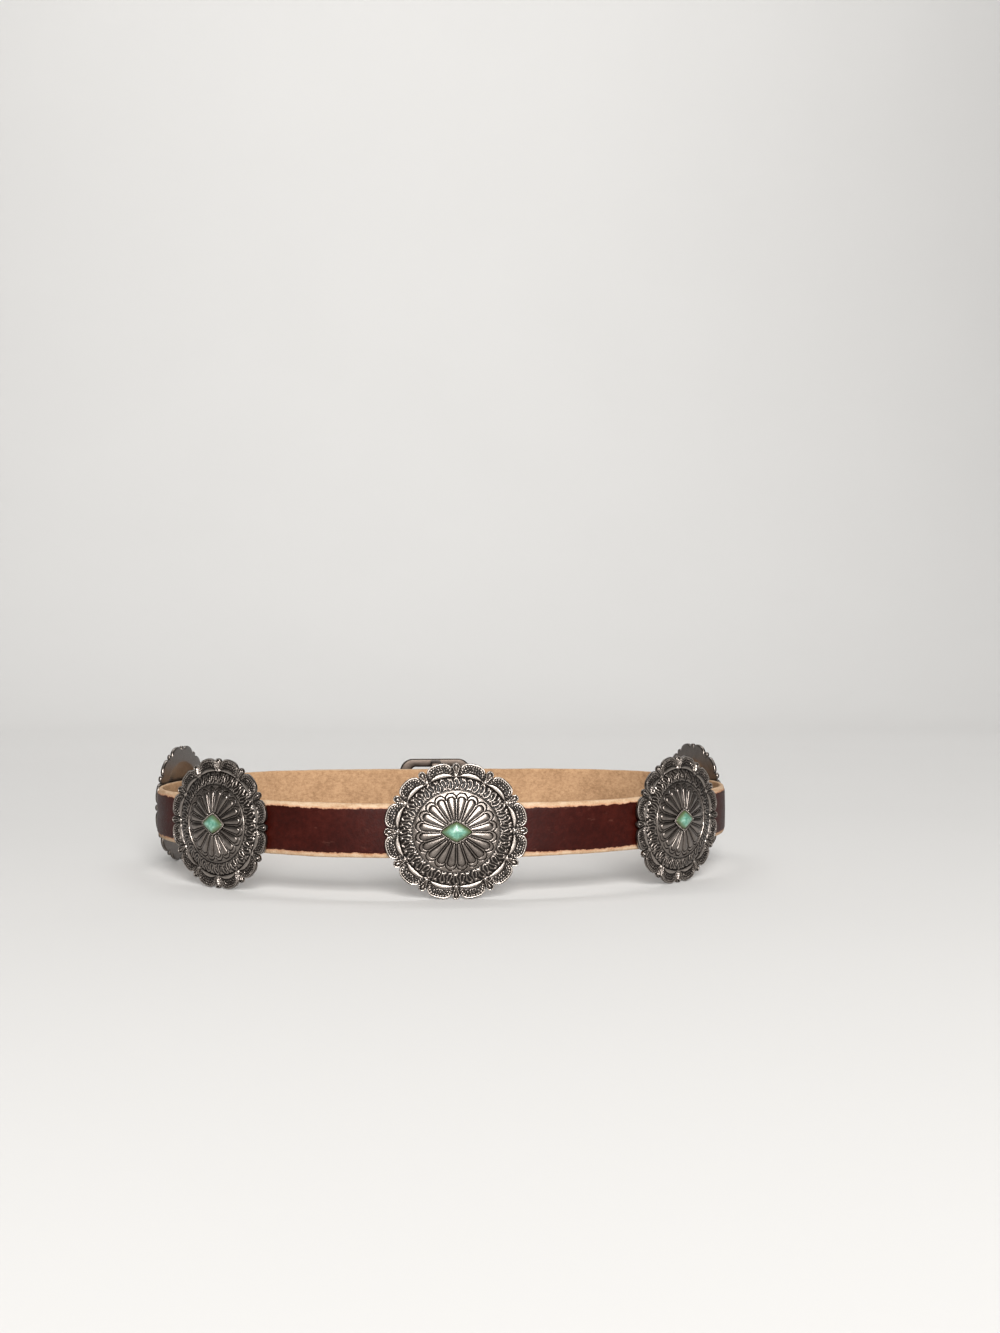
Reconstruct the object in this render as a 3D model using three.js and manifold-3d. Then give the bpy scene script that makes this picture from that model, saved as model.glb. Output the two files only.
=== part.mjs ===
// A concho belt: a leather strap buckled in a loop, with cast conchos that hold turquoise stones.
// Millimetres, +Z up. The belt stands on the lower tips of its conchos, the wearer's back towards -Y.

import * as THREE from 'three';
import { mergeVertices } from 'three/addons/utils/BufferGeometryUtils.js';
import Module from 'manifold-3d';

const wasm = await Module();
wasm.setup();

// Strap
const strapWidth = 25.4;
const strapThickness = 3.2;
const edgeBevelWidth = 2.3; // how far the bevel reaches across the face
const edgeBevelDepth = 0.7; // how far it cuts into the thickness

// Loop seen from above: straight seats under the conchos, arcs between them
const conchoSpacing = 124; // from concho to concho along the middle of the strap
const seatLength = 36;
const backTurn = THREE.MathUtils.degToRad(42); // from the back concho to the next one
const sideTurn = THREE.MathUtils.degToRad(64); // from that one to the one after it
const frontRadius = 75;

// Ends of the strap at the front
const innerEndReach = 17; // how far the end underneath goes past the prong
const tailReach = 92; // how far the tail goes past the prong
const layerRise = 30; // length over which the strap climbs onto its own end
const tailTipLength = 13;
const tailTipWidth = 9;
const tailHoleSpacing = 20;
const tailHoleCount = 4;

// Concho
const conchoWidth = 67; // along the strap
const conchoHeight = 63.5;
const rimThickness = 1.5;
const conchoWall = 1.5;
const discRise = 2.4; // from the rim to the disc of petals
const ringHeight = 0.7; // of the raised ring above the disc
const tongueHeight = 0.7; // of a petal's tongue above the disc
const crescentHeight = 0.8;
const fieldDepth = 0.25; // of the lobes' hollow faces below the rim's edge
const lobeCount = 12;
const petalCount = 20;

// Stone and bezel
const stoneWidth = 11.8; // along the strap
const stoneHeight = 7.8;
const stoneGirdle = 1.1; // straight side of the stone
const stoneDome = 1.3; // from the girdle to the top
const bezelWall = 0.7;
const bezelHeight = 1.6;

// Post and screw
const screwRadius = 1.3;
const screwHeadLip = 1.6; // how far the head reaches over the leather round its hole
const screwHeadThickness = 1.4;
const postWall = 0.8; // round the screw

// Buckle
const buckleWidth = 44; // along the strap
const buckleBar = 7; // width of a bar that crosses the strap
const buckleRail = 5; // width of the rails above and below it
const buckleThickness = 3;
const buckleCornerRadius = 8;
const buckleChamfer = 0.8;
const prongRadius = 1.5;
const backBarMargin = 1.5; // of the bar on either side of the prong
const backBarThickness = 2.4;
const prongRise = 1.4; // how far the prong stands out of the strap

// Clearances
const contactGap = 0.3; // between pieces that touch
const stoneGap = 0.3; // round the stone
const screwGap = 0.3; // round the screw in the post
const holeGap = 0.4; // round a post or the prong in the strap
const railGap = 1; // above and below the strap in the buckle

const boreRadius = screwRadius + screwGap;
const postRadius = boreRadius + postWall;
const postHoleRadius = postRadius + holeGap;
const prongHoleRadius = prongRadius + holeGap;
const layerOffset = strapThickness + contactGap; // from the end underneath to the tail over it

const leather = new THREE.MeshStandardMaterial({ color: 0x42201b, roughness: 0.6, metalness: 0 });
const silver = new THREE.MeshStandardMaterial({ color: 0xa9a49c, roughness: 0.32, metalness: 1 });
const turquoise = new THREE.MeshStandardMaterial({ color: 0x6fc4a8, roughness: 0.3, metalness: 0 });

// Geometry and solids

function toSolid(geometry) {
  const bare = geometry.clone();
  bare.deleteAttribute('normal');
  bare.deleteAttribute('uv');
  const merged = mergeVertices(bare, 1e-4);
  return new wasm.Manifold(
    new wasm.Mesh({
      numProp: 3,
      vertProperties: new Float32Array(merged.attributes.position.array),
      triVerts: new Uint32Array(merged.index.array),
    }),
  );
}

function toGeometry(solid) {
  const mesh = solid.getMesh();
  const geometry = new THREE.BufferGeometry();
  geometry.setAttribute('position', new THREE.BufferAttribute(mesh.vertProperties, 3));
  geometry.setIndex(new THREE.BufferAttribute(mesh.triVerts, 1));
  geometry.computeVertexNormals();
  return geometry;
}

function addMesh(group, name, geometry, material) {
  const mesh = new THREE.Mesh(geometry, material);
  mesh.name = name;
  group.add(mesh);
  return mesh;
}

// A skin over rings of points that lie one round the next, each point as { angle, x, y, z }.
// The first ring is closed on its upper side and the last one on its lower side.
function skin(rings) {
  const positions = [];
  const triangles = [];
  const starts = [];
  for (const ring of rings) {
    starts.push(positions.length / 3);
    for (const point of ring) positions.push(point.x, point.y, point.z);
  }
  for (let r = 0; r + 1 < rings.length; r += 1) {
    const inner = rings[r];
    const outer = rings[r + 1];
    const angleAt = (ring, k) => ring[k % ring.length].angle + 2 * Math.PI * Math.floor(k / ring.length);
    let i = 0;
    let j = 0;
    while (i < inner.length || j < outer.length) {
      const a = starts[r] + (i % inner.length);
      const b = starts[r + 1] + (j % outer.length);
      const innerNext = i < inner.length ? angleAt(inner, i + 1) : Infinity;
      const outerNext = j < outer.length ? angleAt(outer, j + 1) : Infinity;
      if (innerNext < outerNext) {
        i += 1;
        triangles.push(a, b, starts[r] + (i % inner.length));
      } else {
        j += 1;
        triangles.push(a, b, starts[r + 1] + (j % outer.length));
      }
    }
  }
  const close = (ring, start, upwards) => {
    const contour = ring.map((point) => new THREE.Vector2(point.x, point.y));
    for (const [a, b, c] of THREE.ShapeUtils.triangulateShape(contour, [])) {
      if (upwards) triangles.push(start + a, start + b, start + c);
      else triangles.push(start + a, start + c, start + b);
    }
  };
  close(rings[0], starts[0], true);
  close(rings.at(-1), starts.at(-1), false);
  const geometry = new THREE.BufferGeometry();
  geometry.setAttribute('position', new THREE.Float32BufferAttribute(positions, 3));
  geometry.setIndex(triangles);
  geometry.computeVertexNormals();
  return geometry;
}

// Route of the strap

// Half of the loop, from the back to the front. The last straight closes the loop.
function halfLoop() {
  const arcLength = conchoSpacing - seatLength;
  const frontTurn = Math.PI - backTurn - sideTurn;
  const legs = [
    { length: seatLength / 2, turn: 0 },
    { length: arcLength, turn: backTurn },
    { length: seatLength, turn: 0 },
    { length: arcLength, turn: sideTurn },
    { length: seatLength, turn: 0 },
    { length: frontRadius * frontTurn, turn: frontTurn },
  ];
  let reach = 0;
  let heading = 0;
  for (const leg of legs) {
    if (leg.turn === 0) {
      reach += leg.length * Math.cos(heading);
    } else {
      const radius = leg.length / leg.turn;
      reach += radius * (Math.sin(heading + leg.turn) - Math.sin(heading));
      heading += leg.turn;
    }
  }
  legs.push({ length: reach, turn: 0 });
  return legs;
}

// The whole loop as legs with their starts, from the front round the back to the front again.
// Distances along it are measured from the back concho.
function wholeLoop() {
  const half = halfLoop();
  const halfLength = half.reduce((sum, leg) => sum + leg.length, 0);
  const place = new THREE.Vector2(0, 0);
  let heading = Math.PI;
  let start = -halfLength;
  const legs = [];
  for (const leg of [...half].reverse().concat(half)) {
    legs.push({ ...leg, start, x: place.x, y: place.y, heading });
    const end = onLeg(legs.at(-1), leg.length);
    place.set(end.x, end.y);
    heading = end.heading;
    start += leg.length;
  }
  return { legs, halfLength };
}

function onLeg(leg, distance) {
  if (leg.turn === 0) {
    return {
      x: leg.x + distance * Math.cos(leg.heading),
      y: leg.y + distance * Math.sin(leg.heading),
      heading: leg.heading,
    };
  }
  const radius = leg.length / leg.turn;
  const heading = leg.heading + distance / radius;
  return {
    x: leg.x + radius * (Math.sin(heading) - Math.sin(leg.heading)),
    y: leg.y - radius * (Math.cos(heading) - Math.cos(leg.heading)),
    heading,
  };
}

const loop = wholeLoop();
const front = loop.halfLength;

// A place on the loop, moved outwards, with its directions
function placeAt(distance, outwards = 0) {
  const whole = 2 * loop.halfLength;
  const along = THREE.MathUtils.euclideanModulo(distance + loop.halfLength, whole) - loop.halfLength;
  const leg = loop.legs.findLast((each) => each.start <= along + 1e-9);
  const { x, y, heading } = onLeg(leg, along - leg.start);
  const tangent = new THREE.Vector3(Math.cos(heading), Math.sin(heading), 0);
  const outward = new THREE.Vector3(Math.sin(heading), -Math.cos(heading), 0);
  const point = new THREE.Vector3(x, y, conchoHeight / 2).addScaledVector(outward, outwards);
  return { point, tangent, outward };
}

// Puts something built with X along the strap, Y up and Z outwards at a place on the loop
function frameAt(distance, outwards) {
  const { point, tangent, outward } = placeAt(distance, outwards);
  const up = new THREE.Vector3(0, 0, 1);
  return new THREE.Matrix4().makeBasis(tangent, up, outward).setPosition(point);
}

// How far the strap's middle lies outside the loop: the tail climbs onto the end underneath
function layerAt(distance) {
  const climbEnd = front - innerEndReach - contactGap;
  return layerOffset * THREE.MathUtils.smoothstep(distance, climbEnd - layerRise, climbEnd);
}

// Distances at which the strap's outline needs a point
function strapStations() {
  const from = -front - innerEndReach;
  const to = front + tailReach;
  const arcSteps = 8;
  const climbSteps = 6;
  const stations = [];
  for (const lap of [-1, 0, 1]) {
    for (const leg of loop.legs) {
      const steps = leg.turn === 0 ? 1 : arcSteps;
      for (let k = 0; k < steps; k += 1) {
        stations.push(lap * 2 * front + leg.start + (leg.length * k) / steps);
      }
    }
  }
  const climbEnd = front - innerEndReach - contactGap;
  for (let k = 0; k <= climbSteps; k += 1) stations.push(climbEnd - (layerRise * k) / climbSteps);
  stations.sort((a, b) => a - b);
  const leastStep = 2 * edgeBevelDepth;
  const kept = [from];
  for (const station of stations) {
    if (station > kept.at(-1) + leastStep && station < to - leastStep) kept.push(station);
  }
  return [...kept, to];
}

// The plan of a band that reaches from one distance outside the loop to another
function bandOutline(stations, innerAt, outerAt) {
  const edge = (offsetAt) =>
    stations.map((station) => {
      const { point } = placeAt(station, offsetAt(station));
      return new THREE.Vector2(point.x, point.y);
    });
  return new THREE.Shape([...edge(outerAt), ...edge(innerAt).reverse()]);
}

// A round hole through one layer of the strap
function strapHole(distance, radius, offset) {
  const sides = 8;
  const hole = new THREE.CylinderGeometry(radius, radius, strapThickness + contactGap, sides);
  hole.rotateX(Math.PI / 2);
  hole.applyMatrix4(frameAt(distance, offset));
  return toSolid(hole);
}

// The space of the tail's end, without the layer underneath it
function tailSpace(stations, over) {
  const end = front + tailReach;
  const near = stations.filter((station) => station > end - 3 * tailTipLength);
  const inner = () => layerOffset - strapThickness / 2 - contactGap / 2;
  const outer = () => layerOffset + strapThickness / 2 + contactGap;
  const space = new THREE.ExtrudeGeometry(bandOutline([...near, end + over], inner, outer), {
    depth: conchoHeight,
    bevelEnabled: false,
  });
  return toSolid(space);
}

// One of the two corners cut off the tail, above (side 1) or below (side -1)
function tipCorner(side, over) {
  const corner = new THREE.Shape([
    new THREE.Vector2(-tailTipLength, strapWidth / 2),
    new THREE.Vector2(0, tailTipWidth / 2),
    new THREE.Vector2(over, tailTipWidth / 2),
    new THREE.Vector2(over, strapWidth / 2 + over),
    new THREE.Vector2(-tailTipLength, strapWidth / 2 + over),
  ]);
  const cutter = new THREE.ExtrudeGeometry(corner, { depth: 2 * over, bevelEnabled: false });
  cutter.translate(0, 0, -over);
  if (side < 0) cutter.rotateX(Math.PI);
  cutter.applyMatrix4(frameAt(front + tailReach, layerOffset));
  return toSolid(cutter);
}

function strapGeometry(conchoPlaces) {
  const stations = strapStations();
  const inner = (station) => layerAt(station) - strapThickness / 2;
  const outer = (station) => layerAt(station) + strapThickness / 2;
  const strip = new THREE.ExtrudeGeometry(bandOutline(stations, inner, outer), {
    depth: strapWidth - 2 * edgeBevelWidth,
    bevelEnabled: true,
    bevelThickness: edgeBevelWidth,
    bevelSize: edgeBevelDepth,
    bevelOffset: -edgeBevelDepth,
    bevelSegments: 1,
  });
  strip.translate(0, 0, conchoHeight / 2 - strapWidth / 2 + edgeBevelWidth);
  let strap = toSolid(strip);
  for (const place of conchoPlaces) strap = strap.subtract(strapHole(place, postHoleRadius, 0));
  strap = strap.subtract(strapHole(-front, prongHoleRadius, 0));
  for (let k = 0; k < tailHoleCount; k += 1) {
    strap = strap.subtract(strapHole(front + k * tailHoleSpacing, prongHoleRadius, layerOffset));
  }
  const over = 2 * strapThickness;
  const tail = tailSpace(stations, over);
  for (const side of [1, -1]) strap = strap.subtract(tipCorner(side, over).intersect(tail));
  return toGeometry(strap);
}

// Concho, in its own frame: X along the strap, Y up, Z outwards from the rim's underside

const halfHeight = conchoHeight / 2;
const stretch = conchoWidth / conchoHeight;

// Levels of the concho above the rim's underside
const levels = {
  rim: rimThickness,
  field: rimThickness - fieldDepth,
  crescent: rimThickness - fieldDepth + crescentHeight,
  disc: rimThickness + discRise,
  ring: rimThickness + discRise + ringHeight,
  tongue: rimThickness + discRise + tongueHeight,
  bezel: rimThickness + discRise + bezelHeight,
};
const ceiling = levels.disc - conchoWall; // of the hollow behind

// Radii of the relief as shares of half the concho's height
const radii = {
  notch: 0.913, // between a finial and a lobe
  lobe: 1.011, // a lobe's furthest point
  finial: 0.054, // of a finial's round end, about its own middle
  crescentOuter: 0.85,
  bandOuter: 0.79,
  ringOuter: 0.602,
  ringInner: 0.576,
  discEdge: 0.565,
  petalEdge: 0.532,
  tongueEnd: 0.5,
  hollowEdge: 0.76,
  hollowTop: 0.56,
};

function polar(angle, radius, z) {
  return { angle, x: radius * Math.cos(angle) * stretch, y: radius * Math.sin(angle), z };
}

function roundRing(sides, radius, z) {
  return Array.from({ length: sides }, (_, k) => polar((2 * Math.PI * k) / sides, radius, z));
}

// The scalloped outline: round-ended finials on the axes, a lobe between each two
function outlineRing(z) {
  const sector = (2 * Math.PI) / lobeCount;
  const finialRadius = radii.finial * halfHeight;
  const flatHalfAngle = THREE.MathUtils.degToRad(22); // of the small flat at a finial's end
  const notchHalfAngle = THREE.MathUtils.degToRad(0.5); // between a finial's side and the lobe
  const finialMiddle = halfHeight - finialRadius * Math.cos(flatHalfAngle);
  const finialAngles = [-90, -22, 22, 90].map(THREE.MathUtils.degToRad);
  const finial = finialAngles.map((angle) => ({
    angle: Math.atan2(finialRadius * Math.sin(angle), finialMiddle + finialRadius * Math.cos(angle)),
    radius: Math.hypot(finialMiddle + finialRadius * Math.cos(angle), finialRadius * Math.sin(angle)),
  }));
  // A lobe is an arc through its furthest point and the two notches beside it
  const notch = radii.notch * halfHeight;
  const far = radii.lobe * halfHeight;
  const notchAngle = sector / 2 - finialRadius / notch - notchHalfAngle;
  const lobeMiddle = (far ** 2 - notch ** 2) / (2 * (far - notch * Math.cos(notchAngle)));
  const lobeRadius = far - lobeMiddle;
  const lobeHalfAngle = Math.atan2(notch * Math.sin(notchAngle), notch * Math.cos(notchAngle) - lobeMiddle);
  const lobe = [-1, -0.5, 0, 0.5, 1].map((share) => {
    const x = lobeMiddle + lobeRadius * Math.cos(share * lobeHalfAngle);
    const y = lobeRadius * Math.sin(share * lobeHalfAngle);
    return { angle: sector / 2 + Math.atan2(y, x), radius: Math.hypot(x, y) };
  });
  const ring = [];
  for (let k = 0; k < lobeCount; k += 1) {
    for (const { angle, radius } of [...finial, ...lobe]) ring.push(polar(k * sector + angle, radius, z));
  }
  return ring;
}

// A ring along the crescents at a share of their width, from the band (0) to the lobes (1)
function crescentRing(radiusShare, height) {
  const sector = (2 * Math.PI) / lobeCount;
  const crescentHalf = 0.35 * sector;
  const band = radii.bandOuter * halfHeight;
  const narrow = 0.02 * halfHeight; // width of the relief between two crescents
  const width = (radii.crescentOuter - radii.bandOuter) * halfHeight - narrow;
  const ring = [];
  for (let k = 0; k < lobeCount; k += 1) {
    ring.push(polar(k * sector, band + radiusShare * narrow, levels.field));
    for (const share of [-1, -0.43, 0.43, 1]) {
      const bulge = 1 - share ** 2;
      const radius = band + radiusShare * (narrow + width * bulge);
      ring.push(polar((k + 0.5) * sector + share * crescentHalf, radius, levels.field + height * bulge));
    }
  }
  return ring;
}

// A ring across the petals: a groove between each two, and a round-ended tongue on each
function petalRing(radius, rise) {
  const pitch = (2 * Math.PI) / petalCount;
  const section = [
    { turn: 0, reach: 0.97, rise: 0 },
    { turn: 0.22, reach: 0.985, rise: 0.8 },
    { turn: 0.5, reach: 1, rise: 1 },
    { turn: 0.78, reach: 0.985, rise: 0.8 },
  ];
  const ring = [];
  for (let k = 0; k < petalCount; k += 1) {
    for (const point of section) {
      ring.push(polar((k + point.turn) * pitch, point.reach * radius, levels.disc + point.rise * rise));
    }
  }
  return ring;
}

// A soft rhombus, as of the stone and its bezel
function rhombusRing(width, height, z, sides = 16, corner = 1.3) {
  return Array.from({ length: sides }, (_, k) => {
    const angle = (2 * Math.PI * k) / sides;
    const across = Math.abs((2 * Math.cos(angle)) / width) ** corner;
    const upright = Math.abs((2 * Math.sin(angle)) / height) ** corner;
    const radius = (across + upright) ** (-1 / corner);
    return { angle, x: radius * Math.cos(angle), y: radius * Math.sin(angle), z };
  });
}

// The roots of the petals' tongues, round the bezel
function petalRootRing(width, height) {
  const ring = rhombusRing(width, height, levels.disc, 2 * petalCount);
  const rootRise = 0.6 * tongueHeight;
  return ring.map((point, k) => ({ ...point, z: levels.disc + (k % 2 === 1 ? rootRise : 0) }));
}

const bezelInner = { width: stoneWidth + 2 * stoneGap, height: stoneHeight + 2 * stoneGap };
const bezelOuter = { width: bezelInner.width + 2 * bezelWall, height: bezelInner.height + 2 * bezelWall };
const postEnd = -strapThickness; // inside the hole, short of the strap's inner face by the contact gap
const screwReach = 0.7 * strapThickness; // length of the screw inside the post
const boreTop = postEnd + screwReach + contactGap;

function conchoGeometry() {
  const rootGap = 0.8; // from the bezel to the tongues' roots
  const postSides = 10;
  const { width, height } = bezelOuter;
  return skin([
    rhombusRing(bezelInner.width, bezelInner.height, levels.disc),
    rhombusRing(bezelInner.width, bezelInner.height, levels.bezel),
    rhombusRing(width, height, levels.bezel),
    rhombusRing(width, height, levels.disc),
    petalRootRing(width + 2 * rootGap, height + 2 * rootGap),
    petalRing(radii.tongueEnd * halfHeight, tongueHeight),
    petalRing(radii.petalEdge * halfHeight, 0),
    roundRing(40, radii.discEdge * halfHeight, levels.disc),
    roundRing(40, radii.ringInner * halfHeight, levels.ring),
    roundRing(40, radii.ringOuter * halfHeight, levels.ring),
    crescentRing(0, 0),
    crescentRing(0.5, crescentHeight),
    crescentRing(1, 0),
    outlineRing(levels.rim),
    outlineRing(0),
    roundRing(24, radii.hollowEdge * halfHeight, 0),
    roundRing(24, radii.hollowTop * halfHeight, ceiling),
    roundRing(postSides, postRadius / stretch, ceiling),
    roundRing(postSides, postRadius / stretch, postEnd),
    roundRing(postSides, boreRadius / stretch, postEnd),
    roundRing(postSides, boreRadius / stretch, boreTop),
  ]);
}

// Stone: a straight girdle under a low dome with four soft ridges
function stoneGeometry() {
  const base = levels.disc + contactGap;
  const girdle = base + stoneGirdle;
  return skin([
    rhombusRing(0.28 * stoneWidth, 0.28 * stoneHeight, girdle + stoneDome, 16, 1.1),
    rhombusRing(0.82 * stoneWidth, 0.82 * stoneHeight, girdle + 0.5 * stoneDome, 16, 1.2),
    rhombusRing(stoneWidth, stoneHeight, girdle),
    rhombusRing(stoneWidth, stoneHeight, base),
  ]);
}

// Screw, in the concho's frame: its head lies against the strap's inner face
function screwGeometry() {
  const face = -strapThickness - 2 * contactGap; // the head's side of the strap
  const foot = face - screwHeadThickness;
  const headRadius = postHoleRadius + screwHeadLip;
  const profile = [
    new THREE.Vector2(0, foot),
    new THREE.Vector2(0.75 * headRadius, foot),
    new THREE.Vector2(headRadius, foot + 0.5 * screwHeadThickness),
    new THREE.Vector2(headRadius, face),
    new THREE.Vector2(screwRadius, face),
    new THREE.Vector2(screwRadius, postEnd + screwReach),
    new THREE.Vector2(0, postEnd + screwReach),
  ];
  const screw = new THREE.LatheGeometry(profile, 10);
  return screw.rotateX(Math.PI / 2);
}

// Buckle

function roundedRectangle(width, height, radius, path) {
  const x = width / 2;
  const y = height / 2;
  path.moveTo(x, -y + radius);
  path.lineTo(x, y - radius);
  path.absarc(x - radius, y - radius, radius, 0, Math.PI / 2, false);
  path.lineTo(-x + radius, y);
  path.absarc(-x + radius, y - radius, radius, Math.PI / 2, Math.PI, false);
  path.lineTo(-x, -y + radius);
  path.absarc(-x + radius, -y + radius, radius, Math.PI, 1.5 * Math.PI, false);
  path.lineTo(x - radius, -y);
  path.absarc(x - radius, -y + radius, radius, 1.5 * Math.PI, 2 * Math.PI, false);
  return path;
}

// A frame over the tail, a bar behind both layers and a fixed prong through them.
// In its own frame the strap's middle is at Z = 0 under the tail.
function buckleGeometry() {
  const openingHeight = strapWidth + 2 * railGap;
  const frameHeight = openingHeight + 2 * buckleRail;
  const openingWidth = buckleWidth - 2 * buckleBar;
  const frameBack = layerOffset + strapThickness / 2 + contactGap;
  const barFront = -strapThickness / 2 - contactGap;
  const edge = buckleChamfer;
  const backBarWidth = 2 * (prongRadius + backBarMargin);
  const outline = roundedRectangle(buckleWidth, frameHeight, buckleCornerRadius, new THREE.Shape());
  outline.holes.push(roundedRectangle(openingWidth, openingHeight, buckleRail / 2, new THREE.Path()));
  const frame = new THREE.ExtrudeGeometry(outline, {
    depth: buckleThickness - 2 * edge,
    bevelEnabled: true,
    bevelThickness: edge,
    bevelSize: edge,
    bevelOffset: -edge,
    bevelSegments: 1,
    curveSegments: 2,
  });
  frame.translate(0, 0, frameBack + edge);
  let buckle = toSolid(frame);
  const barHeight = frameHeight - 2 * edge;
  const bar = new THREE.BoxGeometry(backBarWidth, barHeight, backBarThickness);
  bar.translate(0, 0, barFront - backBarThickness / 2);
  buckle = buckle.add(toSolid(bar));
  const cheekHeight = (barHeight - openingHeight) / 2;
  const cheekDepth = frameBack + buckleThickness / 2 - barFront + backBarThickness;
  for (const side of [1, -1]) {
    const cheek = new THREE.BoxGeometry(backBarWidth, cheekHeight, cheekDepth);
    const middle = (openingHeight + cheekHeight) / 2;
    cheek.translate(0, side * middle, barFront - backBarThickness + cheekDepth / 2);
    buckle = buckle.add(toSolid(cheek));
  }
  const prongLength = layerOffset + strapThickness / 2 + prongRise - barFront + backBarThickness / 2;
  const prong = new THREE.CylinderGeometry(0.7 * prongRadius, prongRadius, prongLength, 10);
  prong.rotateX(Math.PI / 2);
  prong.translate(0, 0, barFront - backBarThickness / 2 + prongLength / 2);
  buckle = buckle.add(toSolid(prong));
  return toGeometry(buckle);
}

// Assembly

const conchoPlaces = {
  back: 0,
  left: -conchoSpacing,
  right: conchoSpacing,
  front_left: -2 * conchoSpacing,
  front_right: 2 * conchoSpacing,
};

const belt = new THREE.Group();
addMesh(belt, 'strap', strapGeometry(Object.values(conchoPlaces)), leather);

for (const [name, distance] of Object.entries(conchoPlaces)) {
  const setting = new THREE.Group();
  setting.applyMatrix4(frameAt(distance, strapThickness / 2 + contactGap));
  addMesh(setting, `concho_${name}`, conchoGeometry(), silver);
  addMesh(setting, `stone_${name}`, stoneGeometry(), turquoise);
  addMesh(setting, `screw_${name}`, screwGeometry(), silver);
  belt.add(setting);
}

const buckle = addMesh(belt, 'buckle', buckleGeometry(), silver);
buckle.applyMatrix4(frameAt(front, 0));

// The origin is on the ground under the middle of the belt
const box = new THREE.Box3().setFromObject(belt, true);
const middle = box.getCenter(new THREE.Vector3());
belt.position.set(-middle.x, -middle.y, -box.min.z);

const root = new THREE.Group();
root.add(belt);
export default root;
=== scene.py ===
import math
import bpy
import numpy as np
from mathutils import Matrix, Vector


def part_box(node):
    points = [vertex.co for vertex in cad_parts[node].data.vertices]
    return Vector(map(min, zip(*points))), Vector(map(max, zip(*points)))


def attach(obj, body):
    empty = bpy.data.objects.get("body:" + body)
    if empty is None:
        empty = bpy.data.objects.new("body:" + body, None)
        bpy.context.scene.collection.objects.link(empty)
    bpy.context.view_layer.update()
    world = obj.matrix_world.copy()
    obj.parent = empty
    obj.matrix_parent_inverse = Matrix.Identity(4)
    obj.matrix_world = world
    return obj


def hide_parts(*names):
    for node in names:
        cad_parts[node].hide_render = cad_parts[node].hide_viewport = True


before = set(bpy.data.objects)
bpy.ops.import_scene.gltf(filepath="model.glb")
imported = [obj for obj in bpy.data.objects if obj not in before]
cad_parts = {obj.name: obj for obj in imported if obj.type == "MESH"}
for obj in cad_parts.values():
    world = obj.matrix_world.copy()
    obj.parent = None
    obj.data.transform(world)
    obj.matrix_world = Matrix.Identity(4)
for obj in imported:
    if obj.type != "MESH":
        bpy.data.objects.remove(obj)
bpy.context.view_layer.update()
mm = 0.001
tau = 2 * math.pi

# Loop of the strap seen from above, in millimetres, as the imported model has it
belt = {
    "conchoSpacing": 124,
    "seat": 36,  # the straight behind each concho
    "backTurn": math.radians(42),  # of the arcs beside the back concho
    "sideTurn": math.radians(64),  # of the arcs beyond the side conchos
    "frontRadius": 75,
    "thickness": 3.2,
    "gap": 0.3,
    "innerEnd": 17,  # past the prong, under the other layer
    "tail": 92,  # past the prong, over the other layer
    "climb": 30,  # over which the upper layer rises
}


# Working tools

def deselect():
    if bpy.context.object and bpy.context.object.mode != "OBJECT":
        bpy.ops.object.mode_set(mode="OBJECT")
    bpy.ops.object.select_all(action="DESELECT")


def activate(*objects):
    deselect()
    for each in objects:
        each.select_set(True)
    bpy.context.view_layer.objects.active = objects[0]
    return objects[0]


def named(name):
    made = bpy.context.object
    made.name = made.data.name = name
    return made


def positions(piece):
    flat = np.empty(len(piece.data.vertices) * 3)
    piece.data.vertices.foreach_get("co", flat)
    return flat.reshape(-1, 3)


def place(piece, points):
    piece.data.vertices.foreach_set("co", np.ascontiguousarray(points, dtype=float).ravel())
    piece.data.update()


def paint(piece, name, values):
    mesh = piece.data
    layer = mesh.attributes.get(name) or mesh.attributes.new(name, "FLOAT", "POINT")
    layer.data.foreach_set("value", np.broadcast_to(values, len(mesh.vertices)).astype(float))


def join(name, *pieces):
    activate(*pieces)
    bpy.ops.object.join()
    return named(name)


def applyAll(piece):
    activate(piece)
    for modifier in list(piece.modifiers):
        bpy.ops.object.modifier_apply(modifier=modifier.name)
    return piece


# Deselects all of a mesh, and says whether vertices, edges or faces are picked next
def clearPicks(piece, kind):
    activate(piece)
    bpy.ops.object.mode_set(mode="EDIT")
    bpy.ops.mesh.select_mode(type=kind)
    bpy.ops.mesh.select_all(action="DESELECT")
    bpy.ops.object.mode_set(mode="OBJECT")


# Selects vertices by a list of yes and no, and leaves edit mode on
def selectVertices(piece, keep):
    clearPicks(piece, "VERT")
    piece.data.vertices.foreach_set("select", np.asarray(keep, dtype=bool))
    bpy.ops.object.mode_set(mode="EDIT")


# Selects edges by a test on the places of their ends, and leaves edit mode on
def selectEdges(piece, test):
    clearPicks(piece, "EDGE")
    spots = positions(piece)
    for each in piece.data.edges:
        a, b = (spots[k] for k in each.vertices)
        each.select = bool(test(a, b))
    bpy.ops.object.mode_set(mode="EDIT")


# Selects faces by a test on their centres and normals, and leaves edit mode on
def selectFaces(piece, test):
    clearPicks(piece, "FACE")
    for face in piece.data.polygons:
        face.select = bool(test(face.center, face.normal))
    bpy.ops.object.mode_set(mode="EDIT")


# Fills the open loop of vertices that the test picks by their places in millimetres
def fillLoop(piece, test):
    selectVertices(piece, test(positions(piece) / mm))
    bpy.ops.mesh.edge_face_add()
    bpy.ops.object.mode_set(mode="OBJECT")


# Rounds the edges that are sharper than an angle
def roundEdges(piece, width, segments, degrees):
    rounding = piece.modifiers.new("edges", "BEVEL")
    rounding.width = width * mm
    rounding.segments = segments
    rounding.limit_method = "ANGLE"
    rounding.angle_limit = math.radians(degrees)
    return applyAll(piece)


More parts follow.
